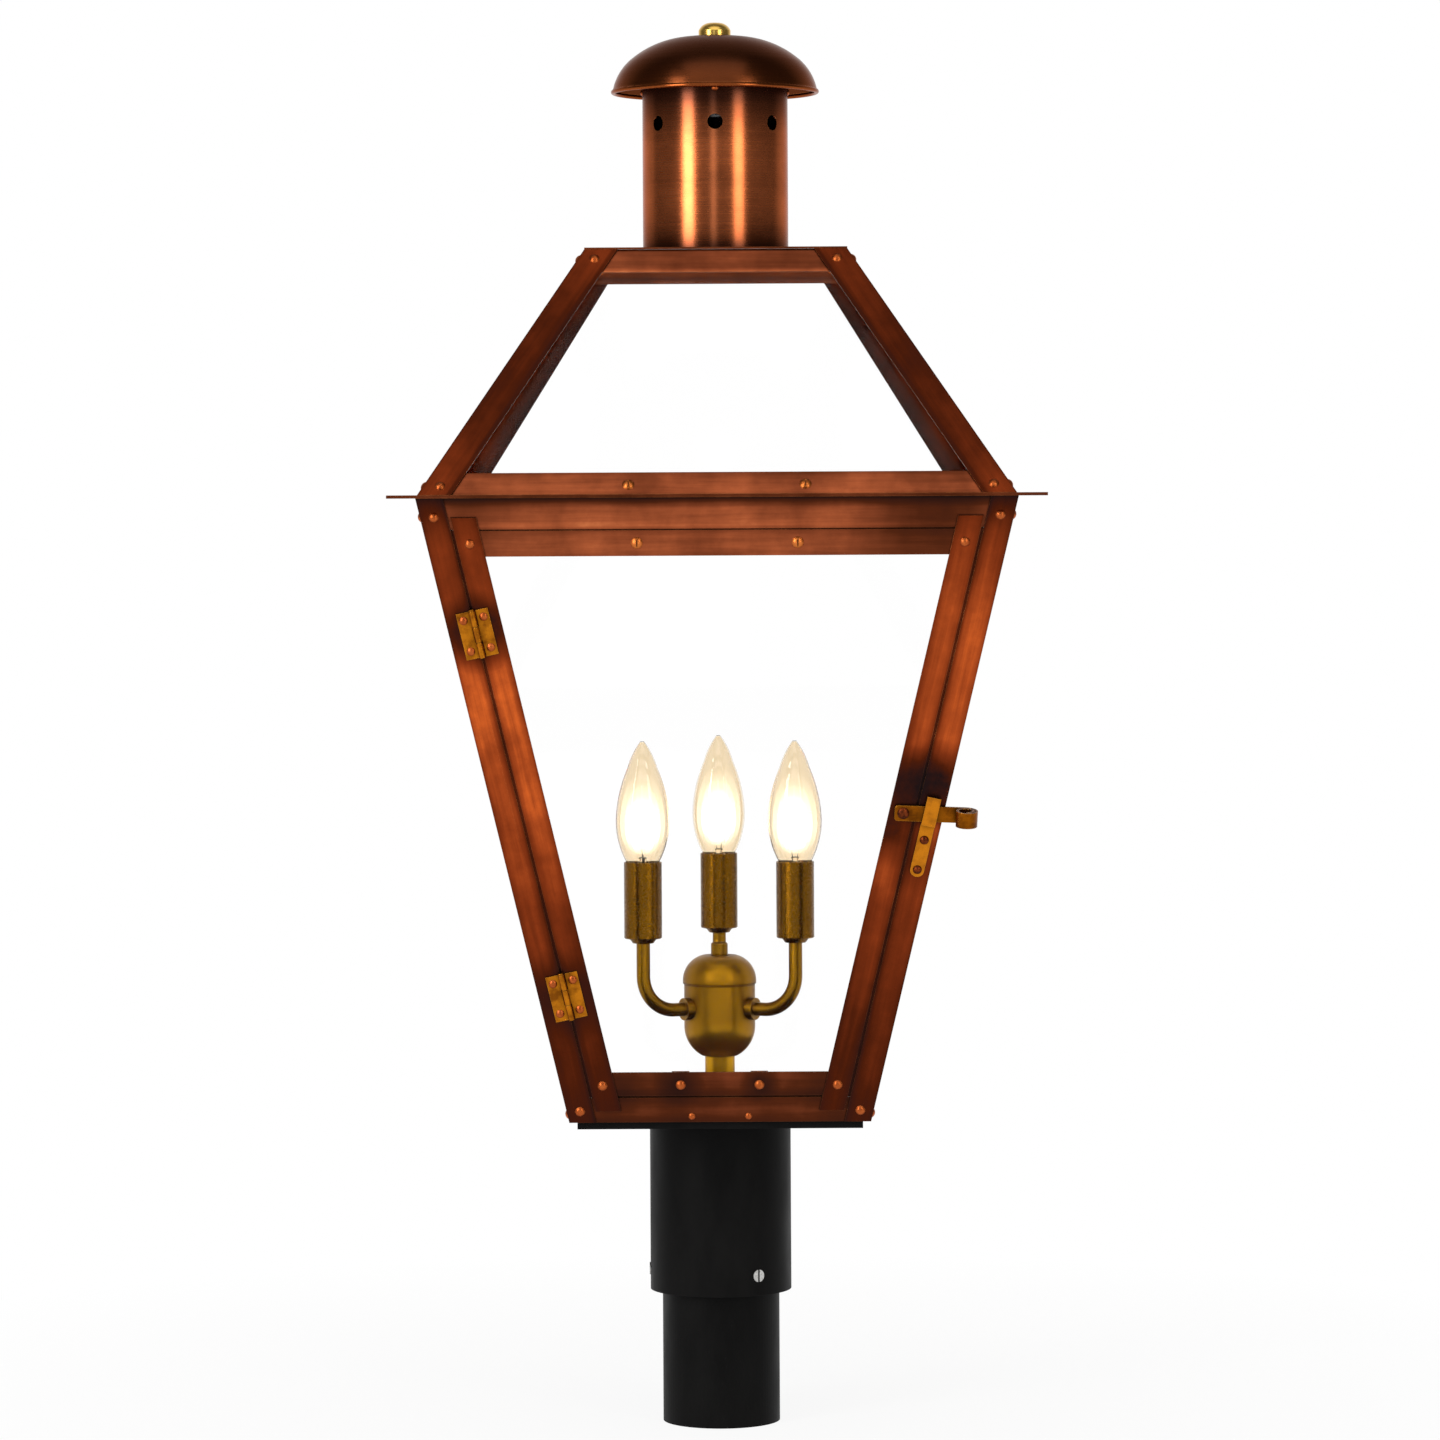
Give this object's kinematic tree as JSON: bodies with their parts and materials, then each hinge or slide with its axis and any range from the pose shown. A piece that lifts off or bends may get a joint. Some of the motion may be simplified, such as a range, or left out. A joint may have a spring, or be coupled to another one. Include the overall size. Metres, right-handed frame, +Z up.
{
  "type": "post top lantern",
  "caption": "Square tapered copper cage lantern on a round post fitter, with a hinged glazed door, a glazed hipped roof, a vented chimney and a candle lamp cluster.",
  "frame": {"origin": "on the vertical axis at the post seat, the underside of the base plate", "axes": "+Z up along the axis, -Y the front with the door, +X to the right seen from the front"},
  "size_m": [0.408, 0.408, 0.8268],
  "materials": {
    "copper_antique": "aged brushed copper, satin",
    "copper_bright": "bare copper, satin",
    "brass_antique": "antique brass, satin",
    "brass_polished": "polished",
    "black_paint": "satin black paint",
    "steel": "zinc plated steel",
    "clear_glass": "clear",
    "bulb_glass": "clear, lit warm white",
    "lamp_holder": "moulded black"
  },
  "bodies": {
    "lantern": {"base_plate": "black_paint", "base_screws": "steel", "bottom_tray": "copper_antique", "bridge_rivets": "copper_bright", "bulb_caps": "brass_polished", "bulbs": "bulb_glass", "cap_bolt": "steel", "cap_bridge": "copper_antique", "cap_nut": "brass_polished", "cap_spacer": "steel", "chimney_cap": "copper_antique", "chimney_tube": "copper_antique", "cluster_arms": "brass_antique", "cluster_cap": "brass_antique", "cluster_cup": "brass_antique", "cluster_finial": "brass_antique", "cluster_stem": "brass_antique", "corner_post_back_left": "copper_antique", "corner_post_back_right": "copper_antique", "corner_post_front_left": "copper_antique", "corner_post_front_right": "copper_antique", "eave_plate": "copper_antique", "frame_clip_screws": "copper_bright", "frame_glass_clips": "copper_bright", "frame_rivets": "copper_bright", "glass_back": "clear_glass", "glass_left": "clear_glass", "glass_right": "clear_glass", "header_rails": "copper_antique", "hinge_frame_leaves": "brass_antique", "hinge_pins": "brass_antique", "keeper_rivets": "copper_bright", "lamp_holders": "lamp_holder", "latch_keeper": "brass_antique", "post_sleeve": "black_paint", "roof_glass_back": "clear_glass", "roof_glass_front": "clear_glass", "roof_glass_left": "clear_glass", "roof_glass_right": "clear_glass", "roof_hip_back_left": "copper_antique", "roof_hip_back_right": "copper_antique", "roof_hip_front_left": "copper_antique", "roof_hip_front_right": "copper_antique", "roof_lower_rails": "copper_antique", "roof_top_pan": "copper_antique", "sill_rails": "copper_antique", "sleeve_set_screws": "steel", "socket_covers": "brass_antique", "stem_locknut": "steel"},
    "door": {"door_stile_left": "copper_antique", "door_stile_right": "copper_antique", "door_rail_top": "copper_antique", "door_rail_bottom": "copper_antique", "door_glass": "clear_glass", "door_glass_clips": "copper_bright", "door_fasteners": "copper_bright", "hinge_door_leaves": "brass_antique", "latch_pivot": "copper_bright"},
    "latch": {"latch_arm": "brass_antique"}
  },
  "joints": [
    {"name": "door_hinge", "type": "hinge", "parent": "lantern", "child": "door", "pos_m": [-0.12371, -0.14358, 0.20354], "axis": [0.2177, 0.2177, -0.9514], "range_deg": [0, 110]},
    {"name": "latch_turn", "type": "hinge", "parent": "door", "child": "latch", "pos_m": [0.11584, -0.14329, 0.20361], "axis": [0, -0.9748, -0.223], "range_deg": [0, 75]}
  ]
}
